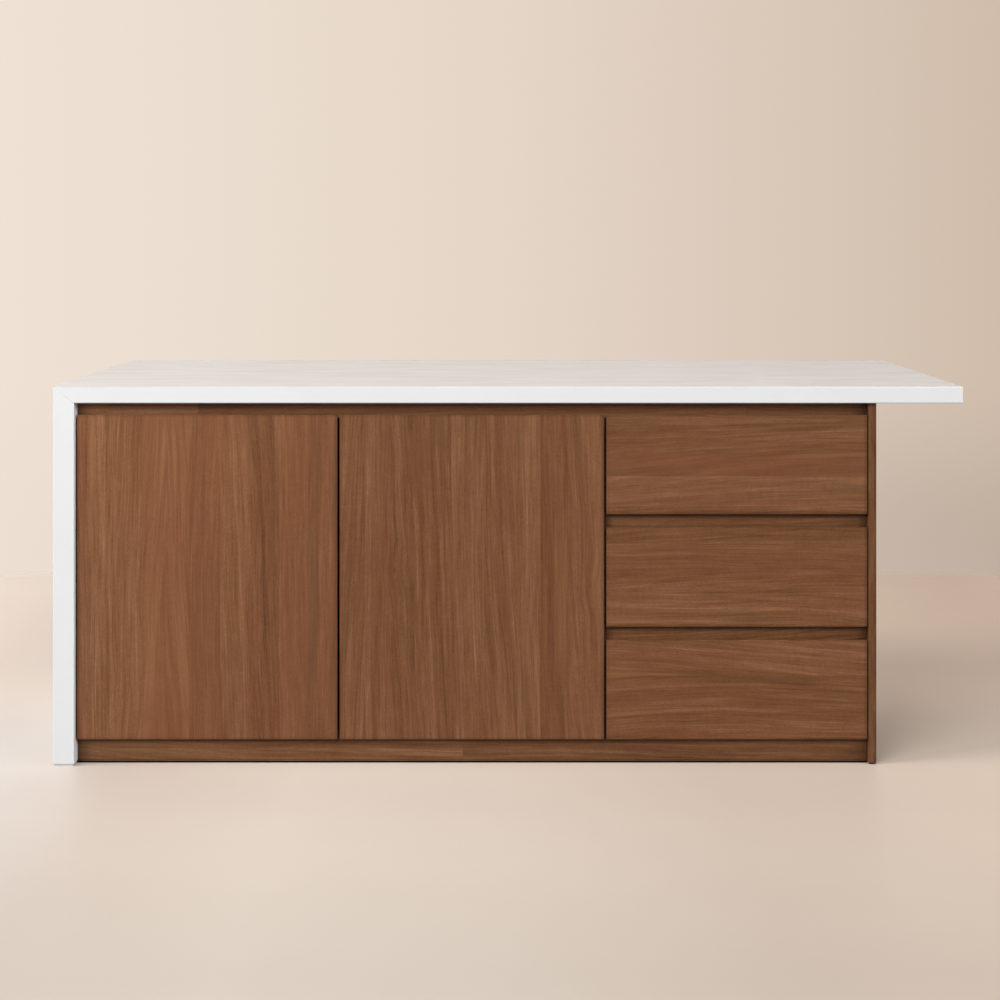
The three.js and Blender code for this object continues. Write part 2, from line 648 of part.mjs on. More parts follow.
// Mounting plate with an upper and a lower wing, each with its screw.
function mountingPlate() {
  const start = PLATE_START;
  const end = start + PLATE_LENGTH;
  const wingStart = (start + end - PLATE_WING) / 2;
  const wingEnd = wingStart + PLATE_WING;
  const tipStart = (start + end - PLATE_WING_TIP) / 2;
  const tipEnd = tipStart + PLATE_WING_TIP;
  const half = PLATE_HEIGHT / 2;
  const top = PLATE_SCREW_SPACING / 2 + PLATE_WING_END;
  const upper = [
    [end, half],
    [wingEnd, half],
    [wingEnd, top - PLATE_WING_CORNER],
    [tipEnd, top],
    [tipStart, top],
    [wingStart, top - PLATE_WING_CORNER],
    [wingStart, half],
    [start, half],
  ];
  const lower = upper.map(([y, z]) => [y, -z]).reverse();
  return alongX([...upper, ...lower], SEAM, PLATE_THICKNESS);
}

// The arm clips over the plate on the cabinet's side. Its origin is on the side's inner face,
// in the plane of the carcass front. Its link reaches down into the cup.
function hingeArm() {
  const outside = ARM_OFF_SIDE + ARM_WIDTH;
  const linkOutside = ARM_OFF_SIDE + ARM_NOSE_WIDTH;
  const linkTip = LINK_RUN + CUP_WALL - CUP_DEPTH - BUMPER_GAP;
  const link = block(
    [linkOutside - LINK_THICKNESS, linkOutside],
    [linkTip, -ARM_NOSE_REACH + STEEL],
    [-LINK_HEIGHT / 2, LINK_HEIGHT / 2],
  );
  const plateMiddle = PLATE_START + PLATE_LENGTH / 2;
  const clip = block(
    [PLATE_THICKNESS / 2, outside - STEEL / 2],
    [plateMiddle + CLIP_START, plateMiddle + CLIP_START + CLIP_LENGTH],
    [-CLIP_HEIGHT / 2, CLIP_HEIGHT / 2],
  );
  const heads = [-1, 1].map((way) =>
    rodX(
      SCREW_HEAD_RADIUS,
      [outside - STEEL / 2, outside + SCREW_HEAD],
      plateMiddle + (way * ARM_SCREW_SPACING) / 2,
      0,
    ),
  );
  const plateHeads = [-1, 1].map((way) =>
    rodX(
      SCREW_HEAD_RADIUS,
      [PLATE_THICKNESS / 2, PLATE_THICKNESS + SCREW_HEAD],
      plateMiddle,
      (way * PLATE_SCREW_SPACING) / 2,
    ),
  );
  return joined(armShell(), mountingPlate(), link, clip, ...heads, ...plateHeads);
}

// `hingedLeft` tells which edge carries the hinges.
function door(name, [x0, x1], hingedLeft, carcassInner) {
  const width = x1 - x0;
  const cupX = hingedLeft ? CUP_CENTRE : width - CUP_CENTRE;
  const boreRadius = CUP_RADIUS + CUP_BORE_CLEARANCE;
  const boreFloor = FRONT_THICKNESS - CUP_DEPTH - CUP_BORE_CLEARANCE;
  const boreEnds = [boreFloor, FRONT_THICKNESS + CUT_OVERSHOOT];
  const heights = Object.entries(HINGE_HEIGHTS);
  const bores = heights.map(([, z]) => rodY(boreRadius, cupX, boreEnds, z, ROUND_SIDES));
  const panel = piece(`${name}_panel`, cut(frontPanel(width, DOOR_HEIGHT), ...bores), walnut);
  const cups = [];
  const arms = [];
  for (const [level, z] of heights) {
    const cupAt = [cupX, FRONT_THICKNESS, z];
    cups.push(piece(`${name}_${level}_hinge_cup`, hingeCup(), plateSteel, cupAt));
    arms.push(piece(`${name}_${level}_hinge_arm`, hingeArm(), plateSteel, [0, 0, z]));
  }
  for (const fitting of [...cups, ...arms]) fitting.scale.x = hingedLeft ? 1 : -1;
  return [
    group([x0, FRONT_FACE, TOE_HEIGHT], panel, ...cups),
    group([carcassInner, CARCASS_FRONT, TOE_HEIGHT], ...arms),
  ];
}

// ---------------------------------------------------------------- drawers
// Runner: a C of folded steel screwed to the cabinet's side, with a nylon roller at its front
// end. Its origin is on the side's inner face, at the carcass front and the runner's underside.
function runner() {
  const web = SEAM + STEEL; // inner face of the sheet that is screwed to the side
  const channel = alongY(
    [
      [SEAM, 0],
      [RUNNER_WIDTH, 0],
      [RUNNER_WIDTH, STEEL],
      [web, STEEL],
      [web, RUNNER_HEIGHT - STEEL],
      [RUNNER_WIDTH - STEEL, RUNNER_HEIGHT - STEEL],
      [RUNNER_WIDTH - STEEL, RUNNER_LIP_UNDERSIDE],
      [RUNNER_WIDTH, RUNNER_LIP_UNDERSIDE],
      [RUNNER_WIDTH, RUNNER_HEIGHT],
      [SEAM, RUNNER_HEIGHT],
    ],
    RUNNER_START,
    RUNNER_START + RUNNER_LENGTH,
  );
  const roller = rodX(
    ROLLER_RADIUS,
    [web - STEEL / 2, RUNNER_WIDTH - ROLLER_RUN],
    RUNNER_START + ROLLER_INSET,
    STEEL + ROLLER_LIFT + ROLLER_RADIUS,
    ROUND_SIDES,
  );
  const heads = RUNNER_SCREWS.map((share) =>
    rodX(
      SCREW_HEAD_RADIUS,
      [web - STEEL / 2, web + SCREW_HEAD],
      RUNNER_START + RUNNER_LENGTH * share,
      RUNNER_HEIGHT / 2,
    ),
  );
  return joined(channel, roller, ...heads);
}

// Steel side of a drawer, from the same origin as its runner. A flange folded outwards rides
// on the runner's roller, a roller at the rear runs in the channel, a lip folded inwards
// carries the bottom, and a tab folded at the front end takes the drawer front's screws.
function drawerSide() {
  const outer = DRAWER_SIDE_GAP;
  const inner = DRAWER_SIDE_GAP + STEEL;
  const front = -BUMPER_GAP;
  const rear = front + RUNNER_LENGTH;
  const section = alongY(
    [
      [outer, DRAWER_LEDGE],
      [outer + LEDGE_WIDTH, DRAWER_LEDGE],
      [outer + LEDGE_WIDTH, DRAWER_LEDGE + STEEL],
      [inner, DRAWER_LEDGE + STEEL],
      [inner, DRAWER_SIDE_TOP],
      [outer - DRAWER_HEM, DRAWER_SIDE_TOP],
      [outer - DRAWER_HEM, DRAWER_SIDE_TOP - HEM_HEIGHT],
      [outer, DRAWER_SIDE_TOP - HEM_HEIGHT - DRAWER_HEM],
      [outer, DRAWER_FLANGE_UNDERSIDE + STEEL],
      [outer - DRAWER_FLANGE, DRAWER_FLANGE_UNDERSIDE + STEEL],
      [outer - DRAWER_FLANGE, DRAWER_FLANGE_UNDERSIDE],
      [outer, DRAWER_FLANGE_UNDERSIDE],
    ],
    front,
    rear,
  );
  const axleY = rear - ROLLER_INSET;
  const axleZ = STEEL + REAR_ROLLER_LIFT + ROLLER_RADIUS;
  const rollerEnd = RUNNER_WIDTH - 2 * ROLLER_RUN;
  const rollerStart = SEAM + STEEL + SCREW_HEAD + 2 * ROLLER_RUN;
  const roller = rodX(ROLLER_RADIUS, [rollerStart, rollerEnd], axleY, axleZ, ROUND_SIDES);
  const axle = rodX(AXLE_RADIUS, [rollerEnd - STEEL, inner - STEEL / 2], axleY, axleZ);
  const tabBottom = DRAWER_LEDGE + STEEL + DRAWER_BOARD + FRONT_TAB_LIFT;
  const tab = block(
    [outer, inner + FRONT_TAB_WIDTH],
    [front, front + STEEL],
    [tabBottom, tabBottom + FRONT_TAB_HEIGHT],
  );
  const heads = [1, 3].map((quarter) =>
    rodY(
      SCREW_HEAD_RADIUS,
      inner + FRONT_TAB_WIDTH / 2,
      [front + STEEL / 2, front + STEEL + SCREW_HEAD],
      tabBottom + (quarter * FRONT_TAB_HEIGHT) / 4,
    ),
  );
  return joined(section, roller, axle, tab, ...heads);
}

function drawer(name, row, [x0, x1]) {
  const bottomHeight = drawerFrontBottom(row);
  const [insideLeft, insideRight] = DRAWER_BAY_INSIDE;
  const front = piece(`${name}_front`, frontPanel(x1 - x0, DRAWER_FRONT_HEIGHT), walnut);
  front.position.set(x0, FRONT_FACE, bottomHeight);

  const runnerZ = bottomHeight + RUNNER_LIFT;
  const boxWide = narrowed(DRAWER_BAY_INSIDE, DRAWER_SIDE_GAP + STEEL + SEAM);
  const boxFront = CARCASS_FRONT - BUMPER_GAP + STEEL;
  const boxRear = CARCASS_FRONT - BUMPER_GAP + RUNNER_LENGTH;
  const bottomZ = runnerZ + DRAWER_LEDGE + STEEL + SEAM;
  const bottom = block(boxWide, [boxFront, boxRear], [bottomZ, bottomZ + DRAWER_BOARD]);
  const back = block(
    boxWide,
    [boxRear - DRAWER_BOARD, boxRear],
    [bottomZ + DRAWER_BOARD + SEAM, runnerZ + DRAWER_SIDE_TOP - DRAWER_BACK_DROP],
  );
  const parts = [
    front,
    piece(`${name}_bottom`, bottom, drawerBoard),
    piece(`${name}_back`, back, drawerBoard),
  ];
  const ends = { left: insideLeft, right: insideRight };
  for (const [side, x] of Object.entries(ends)) {
    const at = [x, CARCASS_FRONT, runnerZ];
    const steelSide = piece(`${name}_${side}_side`, drawerSide(), drawerSteel, at);
    const fixed = piece(`${name}_${side}_runner`, runner(), drawerSteel, at);
    steelSide.scale.x = fixed.scale.x = side === "left" ? 1 : -1;
    parts.push(steelSide, fixed);
  }
  return parts;
}

// ---------------------------------------------------------------- the island
const island = new THREE.Group();
island.add(
  worktop(),
  waterfallLeg(),
  glide("waterfall_leg_glide", [LEFT, LEG_INNER], [FRONT, REAR], whitePlastic),
  endPanel(),
  glide("end_panel_glide", [PANEL_INNER, PANEL_OUTER], [FRONT_FACE, BODY_REAR], blackPlastic),
  rearPanel(),
  ...trim(),
  ...doorCabinet(),
  ...drawerCabinet(),
  ...feet(),
);

const leftDoor = [LEG_INNER + LEG_GAP, DOORS_MEET - MEETING_GAP / 2];
const rightDoor = [DOORS_MEET + MEETING_GAP / 2, BAYS_MEET - BAY_GAP / 2];
const drawerFronts = [BAYS_MEET + BAY_GAP / 2, PANEL_INNER - PANEL_GAP];
island.add(...door("left_door", leftDoor, true, DOOR_BAY_INSIDE[0]));
island.add(...door("right_door", rightDoor, false, DOOR_BAY_INSIDE[1]));
DRAWER_NAMES.forEach((name, row) => island.add(...drawer(name, row, drawerFronts)));

export default island;
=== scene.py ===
"""Kitchen island unit: materials, small fittings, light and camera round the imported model.

Everything is in metres, in the model's frame: the fronts face -Y and the floor is at z = 0."""
import math

import bmesh
import bpy
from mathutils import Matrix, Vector

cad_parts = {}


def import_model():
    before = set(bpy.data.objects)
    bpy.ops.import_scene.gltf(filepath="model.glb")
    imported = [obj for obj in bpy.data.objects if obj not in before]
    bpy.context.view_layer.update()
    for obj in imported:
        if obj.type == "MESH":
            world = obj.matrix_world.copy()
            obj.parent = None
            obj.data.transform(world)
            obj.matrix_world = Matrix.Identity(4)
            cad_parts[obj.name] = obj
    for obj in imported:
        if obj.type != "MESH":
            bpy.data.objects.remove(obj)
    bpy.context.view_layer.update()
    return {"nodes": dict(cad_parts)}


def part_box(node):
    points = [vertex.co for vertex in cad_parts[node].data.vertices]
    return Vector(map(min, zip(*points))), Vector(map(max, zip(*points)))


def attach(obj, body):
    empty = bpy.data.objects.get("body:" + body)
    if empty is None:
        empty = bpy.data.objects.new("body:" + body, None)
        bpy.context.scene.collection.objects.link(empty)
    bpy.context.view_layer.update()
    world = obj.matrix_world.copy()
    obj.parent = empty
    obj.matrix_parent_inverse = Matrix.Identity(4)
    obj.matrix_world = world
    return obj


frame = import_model()
nodes = frame["nodes"]

MM = 0.001
X, Y, Z = range(3)


# ------------------------------------------------------------------ colour and node helpers
def linear(r, g, b):
    """A colour given as 0 to 255 on screen, as the linear values that nodes take."""
    def one(v):
        v /= 255
        return v / 12.92 if v <= 0.04045 else ((v + 0.055) / 1.055) ** 2.4
    return (one(r), one(g), one(b), 1.0)


def grey(level):
    """A grey given as its linear value."""
    return (level, level, level, 1.0)


class Tree:
    """Builds one material's nodes. Any input may be a number, a tuple or another node's socket."""

    def __init__(self, name, owner=None):
        self.owner = owner or bpy.data.materials.new(name)
        self.owner.use_nodes = True
        self.tree = self.owner.node_tree
        self.tree.nodes.clear()

    def node(self, kind, inputs=(), **settings):
        made = self.tree.nodes.new(kind)
        for key, value in settings.items():
            setattr(made, key, value)
        items = inputs.items() if isinstance(inputs, dict) else enumerate(inputs)
        for key, value in items:
            if isinstance(value, bpy.types.NodeSocket):
                self.tree.links.new(value, made.inputs[key])
            else:
                made.inputs[key].default_value = value
        return made

    def math(self, operation, *values):
        return self.node("ShaderNodeMath", values, operation=operation).outputs[0]

    def combine(self, x, y, z):
        return self.node("ShaderNodeCombineXYZ", (x, y, z)).outputs[0]

    def separate(self, vector):
        """The three coordinates of a vector."""
        return list(self.node("ShaderNodeSeparateXYZ", (vector,)).outputs)

    def stretch(self, xyz, factors):
        """The point xyz with each coordinate times its factor."""
        return self.combine(*(self.math("MULTIPLY", v, f) for v, f in zip(xyz, factors)))

    def noise(self, vector, detail=2.0, roughness=0.5, scale=1.0):
        inputs = {"Vector": vector, "Scale": scale, "Detail": detail, "Roughness": roughness}
        return self.node("ShaderNodeTexNoise", inputs).outputs["Fac"]

    def cells(self, place, dimensions="3D", randomness=1.0):
        """The outputs of a Voronoi texture with one cell to each whole step of the place."""
        key = "W" if dimensions == "1D" else "Vector"
        inputs = {key: place, "Scale": 1.0, "Randomness": randomness}
        return self.node("ShaderNodeTexVoronoi", inputs, voronoi_dimensions=dimensions).outputs

    def span(self, value, low, high, to_low=0.0, to_high=1.0, smooth=True):
        """Maps `low` to `high` onto `to_low` to `to_high`, and keeps to those limits."""
        kind = "SMOOTHSTEP" if smooth else "LINEAR"
        inputs = (value, low, high, to_low, to_high)
        return self.node("ShaderNodeMapRange", inputs, interpolation_type=kind).outputs[0]

    def ramp(self, value, stops):
        made = self.node("ShaderNodeValToRGB", (value,))
        elements = made.color_ramp.elements
        while len(elements) < len(stops):
            elements.new(0.5)
        for element, (place, colour) in zip(elements, stops):
            element.position = place
            element.color = colour
        return made.outputs["Color"]

    def mix(self, factor, a, b, blend="MIX"):
        """Two colours mixed. The node's inputs 6 and 7 and its output 2 are those for colours."""
        inputs = {0: factor, 6: a, 7: b}
        made = self.node("ShaderNodeMix", inputs, data_type="RGBA", blend_type=blend)
        return made.outputs[2]

    def scaled(self, colour, factor):
        """The colour times a number that may differ from place to place."""
        return self.mix(1.0, colour, self.combine(factor, factor, factor), "MULTIPLY")

    def bump(self, height, strength, distance):
        inputs = {"Height": height, "Strength": strength, "Distance": distance}
        return self.node("ShaderNodeBump", inputs).outputs["Normal"]

    def point(self):
        """The three coordinates of the place being shaded, which ride with the piece."""
        return self.separate(self.node("ShaderNodeTexCoord").outputs["Object"])

    def surface(self, **inputs):
        names = {key.replace("_", " "): value for key, value in inputs.items()}
        shader = self.node("ShaderNodeBsdfPrincipled", names)
        self.node("ShaderNodeOutputMaterial", (shader.outputs[0],))
        return self.owner


# ------------------------------------------------------------------ walnut
WALNUT = [
    (0.00, linear(66, 40, 23)),
    (0.22, linear(97, 61, 37)),
    (0.42, linear(114, 74, 46)),
    (0.55, linear(124, 83, 55)),
    (0.74, linear(139, 97, 68)),
    (1.00, linear(168, 125, 94)),
]
# All rates here are across and along the grain, in cycles a metre.
# The veneer is laid in narrow staves. Each has its own tone, its own share of ROSE up to ROSE_MOST,
# its own lean of the grain and its own part of the pattern, STAVE_JUMP metres off at the most.
STAVE_RATE = 14.0
STAVE_TONE = 0.16
STAVE_LEAN = 0.11
STAVE_JUMP = 3.1
ROSE = linear(130, 81, 55)
ROSE_MOST = 0.45
# Slow bends of the grain, as (rates, reach in metres).
DRIFTS = [((1.7, 0.9), 0.10), ((7.0, 3.0), 0.016), ((26.0, 11.0), 0.003)]
# The figure from broad bands to fine lines, as (rates, detail, weight).
FIGURE = [
    ((9.0, 0.5), 1.0, 0.14),
    ((34.0, 1.2), 2.0, 0.26),
    ((105.0, 2.6), 3.0, 0.62),
    ((260.0, 9.0), 2.0, 0.60),
    ((46.0, 30.0), 3.0, 0.18),
    ((330.0, 170.0), 2.0, 0.34),
]
# Streaks of another colour, as (colour, rates, noise where they start and are full, most cover).
STREAKS = [
    (linear(98, 70, 43), (20.0, 1.2), (0.56, 0.74), 0.4),
    (linear(152, 107, 72), (42.0, 1.5), (0.60, 0.74), 0.35),
]
# Marks, as (rates, detail, noise where they start and are full). Pores and curl keep to zones.
MARKS = {
    "lines": ((120.0, 2.4), 2.0, (0.60, 0.74)),
    "pores": ((1500.0, 60.0), 1.0, (0.56, 0.70)),
    "pore_zones": ((13.0, 2.0), 2.0, (0.42, 0.66)),
    "curl_zones": ((6.0, 2.6), 2.0, (0.5, 0.7)),
}
FIBRE_RATES = (620.0, 45.0)
CURL_RATES = (30.0, 95.0)
# How much each of these changes the tone.
LINE_TONE, PORE_TONE, CURL_TONE, HEART_TONE = -0.14, -0.20, 0.36, -0.28
# Pores are this deep in the relief of the fibres.
PORE_DEPTH = 0.6
# Knots lie near the points of a grid. Each pushes the grain aside as far as KNOT_REACH, by
# KNOT_PUSH at its middle, has a dark heart and is KNOT_STRETCH times as long as it is wide.
KNOT_RATES = (1.7, 1.1)
KNOT_STRAY = 0.9
KNOT_REACH = 38 * MM
KNOT_PUSH = 11 * MM
KNOT_HEART = 5 * MM
KNOT_STRETCH = 2.2
# Steps from one sheet's pattern to the next, so that no two look alike.
SHEET_STEP = 7.31
STAVE_STEP = 5.13
KNOT_STEPS = (1.7, 0.9)
JOINT_STEP = 3.77
# Painted shade towards a piece's edges, deeper at the right and at the bottom, as
# {axis: (tone at the low edge, at the high edge, reach)}.
PAINTED_EDGE_SHADE = {X: (0.84, 0.54, 10 * MM), Z: (0.74, 0.86, 8 * MM)}
# Painted shade at the ends of the toe kick and the grip rails, where the leg and the end panel
# shade their recesses, along the tops of the two lower rails under the fronts above them, a little
# along the toe kick's foot, and at the end panel's right edge.
PAINTED_RAIL_SHADE = {X: (0.55, 0.45, 24 * MM), Z: (1.0, 0.5, 22 * MM)}
PAINTED_SHADE_BY_NODE = {
    "toe_kick": {X: (0.62, 0.70, 42 * MM), Z: (0.9, 1.0, 6 * MM)},
    "upper_grip_rail": {X: (0.62, 0.40, 40 * MM)},
    "middle_grip_rail": PAINTED_RAIL_SHADE,
    "lower_grip_rail": PAINTED_RAIL_SHADE,
    "end_panel": {X: (0.92, 0.55, 9 * MM)},
}


def staves(t, across, seed):
    """Three random numbers from 0 to 1 that stay the same over each stave."""
    place = t.math("MULTIPLY_ADD", across, STAVE_RATE, seed * STAVE_STEP)
    colour = t.cells(place, "1D")["Color"]
    return list(t.node("ShaderNodeSeparateColor", (colour,)).outputs)


def knots(t, across, run, seed):
    """Distance from the nearest knot, in metres, with the knot's greater length taken out."""
    place = t.combine(t.math("MULTIPLY_ADD", across, KNOT_RATES[0], seed * KNOT_STEPS[0]),
                      t.math("MULTIPLY_ADD", run, KNOT_RATES[1], seed * KNOT_STEPS[1]), 0.0)
    nearest = t.cells(place, "2D", KNOT_STRAY)["Position"]
    away = t.node("ShaderNodeVectorMath", (place, nearest), operation="SUBTRACT").outputs[0]
    x, y, _ = t.separate(away)
    x = t.math("DIVIDE", x, KNOT_RATES[0])
    y = t.math("DIVIDE", y, KNOT_RATES[1] * KNOT_STRETCH)
    return t.math("SQRT", t.math("MULTIPLY_ADD", x, x, t.math("MULTIPLY", y, y)))


def walnut(node, along, seed, tones, rise, joints):
    """Straight-grained walnut veneer on a CAD node.

    The grain runs along axis number `along`. `tones` are those of the node's low and high side
    across the grain, and `rise` is the factor on them that is reached at the grain's high end.
    `joints` lists veneer joints as (place, factor on the tone beyond it), where the pattern
    changes too. Towards the node's edges it is darkened by painted shade."""
    low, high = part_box(node)
    size = high - low
    side, thin = sorted((i for i in range(3) if i != along), key=lambda i: -size[i])
    t = Tree(f"walnut_{node}")
    here = t.point()
    run, across, depth = here[along], here[side], here[thin]

    shift = seed * SHEET_STEP
    middle = (low[along] + high[along]) / 2
    level = t.math("MULTIPLY", t.span(across, low[side], high[side], *tones, smooth=False),
                   t.span(run, middle, high[along], 1.0, rise, smooth=False))
    for place, factor in joints:
        past = t.math("GREATER_THAN", run, place)
        shift = t.math("MULTIPLY_ADD", past, JOINT_STEP, shift)
        level = t.math("MULTIPLY", level, t.math("MULTIPLY_ADD", past, factor - 1, 1.0))

    far = t.math("ADD", across, shift)
    toned, hued, leaning = staves(t, far, seed)
    knot = knots(t, far, run, seed)
    lean = t.math("MULTIPLY", t.math("SUBTRACT", leaning, 0.5), STAVE_LEAN)
    bent = t.math("MULTIPLY_ADD", lean, t.math("SUBTRACT", run, middle), far)
    bent = t.math("MULTIPLY_ADD", hued, STAVE_JUMP, bent)
    for rates, reach in DRIFTS:
        drift = t.noise(t.stretch((far, depth, run), (rates[0], *rates)), detail=1.0)
        bent = t.math("MULTIPLY_ADD", drift, reach, bent)
    bent = t.math("ADD", bent, t.span(knot, 0.0, KNOT_REACH, KNOT_PUSH, 0.0))

    def layer(rates, detail=2.0):
        return t.noise(t.stretch((bent, depth, run), (rates[0], *rates)), detail)

    mixed = t.math("MULTIPLY_ADD", t.math("SUBTRACT", toned, 0.5), STAVE_TONE, 0.5)
    for rates, detail, weight in FIGURE:
        centred = t.math("SUBTRACT", layer(rates, detail), 0.5)
        mixed = t.math("MULTIPLY_ADD", centred, weight, mixed)
    colour = t.ramp(mixed, WALNUT)
    colour = t.mix(t.span(hued, 0.5, 1.0, 0.0, ROSE_MOST), colour, ROSE)
    for tint, rates, (start, full), most in STREAKS:
        colour = t.mix(t.span(layer(rates), start, full, 0.0, most), colour, tint)

    marks = {name: t.span(layer(rates, detail), *limits)
             for name, (rates, detail, limits) in MARKS.items()}
    pores = t.math("MULTIPLY", marks["pores"], marks["pore_zones"])
    curl = t.math("SUBTRACT", layer(CURL_RATES), 0.5)
    curl = t.math("MULTIPLY", curl, marks["curl_zones"])
    heart = t.span(knot, 0.0, KNOT_HEART, 1.0, 0.0)
    for mark, change in (
        (marks["lines"], LINE_TONE), (pores, PORE_TONE), (curl, CURL_TONE), (heart, HEART_TONE),
    ):
        colour = t.scaled(colour, t.math("MULTIPLY_ADD", mark, change, 1.0))

    # Painted shade: the tone falls towards the node's edges, as the tables of edge shade give.
    for axis, (*edges, reach) in PAINTED_SHADE_BY_NODE.get(node, PAINTED_EDGE_SHADE).items():
        gaps = t.math("SUBTRACT", here[axis], low[axis]), t.math("SUBTRACT", high[axis], here[axis])
        for gap, edge in zip(gaps, edges):
            level = t.math("MULTIPLY", level, t.span(gap, 0.0, reach, edge, 1.0, smooth=False))

    fibres = layer(FIBRE_RATES)
    grain = t.math("MULTIPLY_ADD", pores, -PORE_DEPTH, fibres)
    return t.surface(
        Base_Color=t.scaled(colour, level),
        Roughness=t.span(fibres, 0.25, 0.75, 0.50, 0.40, smooth=False),
        Specular_IOR_Level=0.22,
        Normal=t.bump(grain, 0.25, 0.25 * MM),
    )


# ------------------------------------------------------------------ the other materials
STONE = [(0.30, linear(230, 232, 234)), (0.70, linear(232, 234, 236))]
# The level faces have long clouds of another colour, which cover VEIN_MOST of them at the most,
# over an even tint of it, given at the front and at the rear. That even tint is painted shade,
# deeper towards the rear, and a painted reflection of the warm wall. Rates are in cycles a metre.
VEIN = linear(214, 202, 195)
VEIN_RATES = (4.2, 15.0, 4.2)
VEIN_MOST = 0.36
LEVEL_SHADE_TINT = (0.04, 0.14)
GRIT_RATE = 900.0
# A painted highlight along the arrises: the factor on the colour there, and how far from them
# it is still full and where it ends.
ARRIS_HIGHLIGHT_TONE = 1.03
ARRIS_HIGHLIGHT_REACH = (1.5 * MM, 4 * MM)
# The same for where the level faces' veins and painted shade end, upwards or downwards from them.
LEVEL_REACH = (0.2 * MM, 0.6 * MM)


def white_stone(node):
    """Honed white engineered stone: faint clouds, fine grit and a soft sheen, with painted shade
    on its level faces and a painted highlight along its arrises.
    """
    low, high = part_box(node)
    t = Tree(f"white_stone_{node}")
    here = t.point()
    inset = [t.math("MINIMUM", t.math("SUBTRACT", at, a), t.math("SUBTRACT", b, at))
             for at, a, b in zip(here, low, high)]
    # Near an arris at least two of the three insets are small, and so is the middle one of them.
    lesser, greater = (t.math(pick, inset[X], inset[Y]) for pick in ("MINIMUM", "MAXIMUM"))
    from_arris = t.math("MAXIMUM", lesser, t.math("MINIMUM", greater, inset[Z]))
    on_level = t.span(inset[Z], *LEVEL_REACH, 1.0, 0.0)

    clouds = t.noise(t.combine(*here), scale=7.0, detail=4.0, roughness=0.55)
    veins = t.noise(t.stretch(here, VEIN_RATES), detail=5.0, roughness=0.62)
    grit = t.cells(t.stretch(here, (GRIT_RATE,) * 3))["Distance"]
    # Veins over an even painted shade, deeper towards the rear, both kept to the level faces.
    tint = t.math("MULTIPLY_ADD", t.span(veins, 0.35, 0.65), VEIN_MOST,
                  t.span(here[Y], low.y, high.y, *LEVEL_SHADE_TINT, smooth=False))
    colour = t.mix(t.math("MULTIPLY", tint, on_level), t.ramp(clouds, STONE), VEIN)
    colour = t.scaled(colour, t.span(grit, 0.1, 0.6, 0.985, 1.0))
    # Painted highlight: a little lighter near every arris.
    colour = t.scaled(colour, t.span(from_arris, *ARRIS_HIGHLIGHT_REACH, ARRIS_HIGHLIGHT_TONE, 1.0))
    return t.surface(
        Base_Color=colour,
        Roughness=t.span(clouds, 0.3, 0.7, 0.42, 0.52, smooth=False),
        Specular_IOR_Level=0.4,
        Normal=t.bump(grit, 0.06, 0.1 * MM),
    )


def drawer_board():
    """Grey board faced with a fine linen print."""
    t = Tree("drawer_board")
    here = t.point()
    fine, coarse = 1400.0, 90.0
    warp = t.noise(t.stretch(here, (fine, coarse, coarse)))
    weft = t.noise(t.stretch(here, (coarse, fine, fine)))
    cloud = t.noise(t.combine(*here), scale=9.0, detail=3.0)
    threads = t.math("MULTIPLY_ADD", warp, 0.5, t.math("MULTIPLY", weft, 0.5))
    mixed = t.math("MULTIPLY_ADD", cloud, 0.3, t.math("MULTIPLY", threads, 0.7))
    return t.surface(
        Base_Color=t.ramp(mixed, [(0.32, linear(168, 165, 160)), (0.68, linear(203, 200, 195))]),
        Roughness=t.span(threads, 0.3, 0.7, 0.62, 0.5, smooth=False),
        Specular_IOR_Level=0.4,
        Normal=t.bump(threads, 0.2, 0.15 * MM),
    )


def clouded(name, relief, cloud, tones, roughness, bump, gloss_by="cloud", **fixed):
    """A finish with a fine relief in its surface and a slow cloud in its colour.

    `relief` holds the relief's rates along X, Y and Z, and `cloud` the cloud's rate, detail and
    roughness. `tones` are the colour's stops over the cloud. `roughness` is (low, high, surface's
    roughness at low, at high) over the noise that `gloss_by` names. `bump` is the relief's
    strength and height, and `fixed` is for the shader's own sockets."""
    t = Tree(name)
    here = t.point()
    rate, detail, roughening = cloud
    noises = {
        "relief": t.noise(t.stretch(here, relief)),
        "cloud": t.noise(t.combine(*here), detail, roughening, rate),
    }
    return t.surface(
        Base_Color=t.ramp(noises["cloud"], [(place, linear(*rgb)) for place, rgb in tones]),
        Roughness=t.span(noises[gloss_by], *roughness, smooth=False),
        Normal=t.bump(noises["relief"], *bump),
        **fixed,
    )


BOARD = drawer_board()
# Satin grey powder coat on folded steel, with its fine orange peel.
STEEL = clouded(
    "drawer_steel", (650.0,) * 3, (14.0, 3.0, 0.5),
    [(0.3, (158, 160, 162)), (0.7, (176, 178, 180))],
    (0.3, 0.7, 0.36, 0.46), (0.25, 0.12 * MM), gloss_by="relief", Metallic=0.35)
# Nickel plate over pressed steel, with drawing marks and handling scuffs.
NICKEL = clouded(
    "plated_steel", (240.0, 240.0, 2600.0), (120.0, 4.0, 0.65),
    [(0.3, (186, 186, 184)), (0.7, (214, 213, 209))],
    (0.3, 0.75, 0.2, 0.38), (0.12, 0.05 * MM), Metallic=1.0)
# Moulded black nylon with a fine spark-eroded grain.
PLASTIC = clouded(
    "black_plastic", (1100.0,) * 3, (45.0, 4.0, 0.5),
    [(0.35, (28, 28, 29)), (0.75, (48, 47, 46))],
    (0.3, 0.7, 0.5, 0.66), (0.3, 0.1 * MM))
# Moulded white nylon with a fine grain, a little grubby.
PALE_PLASTIC = clouded(
    "white_plastic", (1100.0,) * 3, (30.0, 4.0, 0.6),
    [(0.3, (204, 202, 197)), (0.7, (218, 217, 213))],
    (0.3, 0.7, 0.55, 0.45), (0.25, 0.1 * MM))
